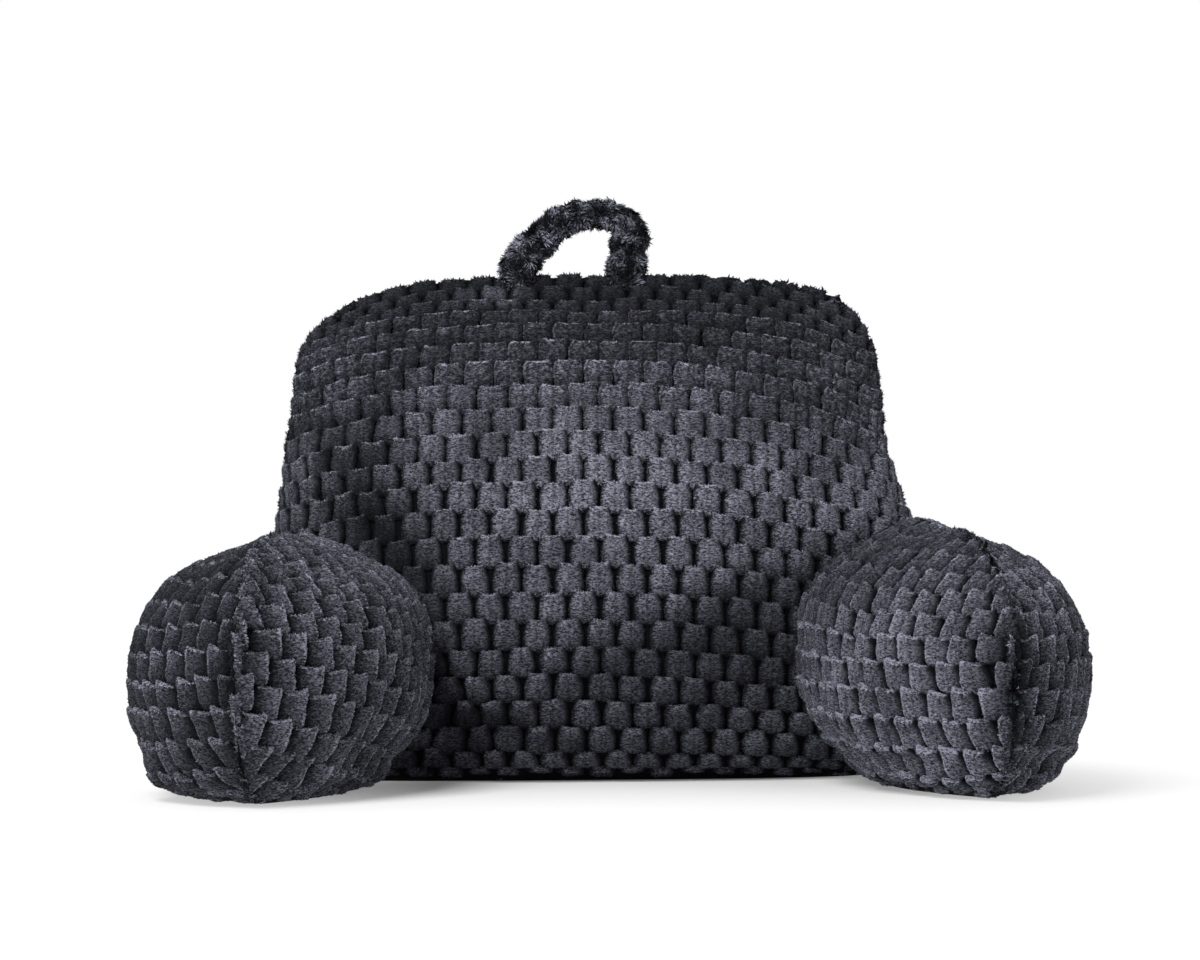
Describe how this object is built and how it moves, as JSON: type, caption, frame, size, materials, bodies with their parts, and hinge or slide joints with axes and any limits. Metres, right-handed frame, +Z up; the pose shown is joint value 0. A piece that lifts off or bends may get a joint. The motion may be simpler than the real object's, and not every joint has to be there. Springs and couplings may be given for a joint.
{
  "type": "reading pillow with arms",
  "caption": "Upright reading pillow with a leaning back cushion, forward bolster arms and a furry carry loop on top, covered in dark tufted plush.",
  "frame": {"origin": "on the surface it stands on, under the middle of the whole pillow", "axes": "+Z up; -Y is the side the sitter leans on, where the arms reach forward; +X runs across the pillow, to the right of someone facing the sitter's side"},
  "size_m": [0.7722, 0.5628, 0.5142],
  "materials": {
    "back_plush": "dense short plush pile cut into rows of raised scale-shaped tufts, charcoal navy",
    "arm_plush": "dense short plush pile cut into rows of raised scale-shaped tufts, charcoal navy",
    "handle_plush": "shaggy plush pile without tufts, charcoal navy"
  },
  "bodies": {
    "root": {"back_cushion": "back_plush", "arm_left": "arm_plush", "arm_right": "arm_plush", "carry_handle": "handle_plush"}
  },
  "joints": []
}
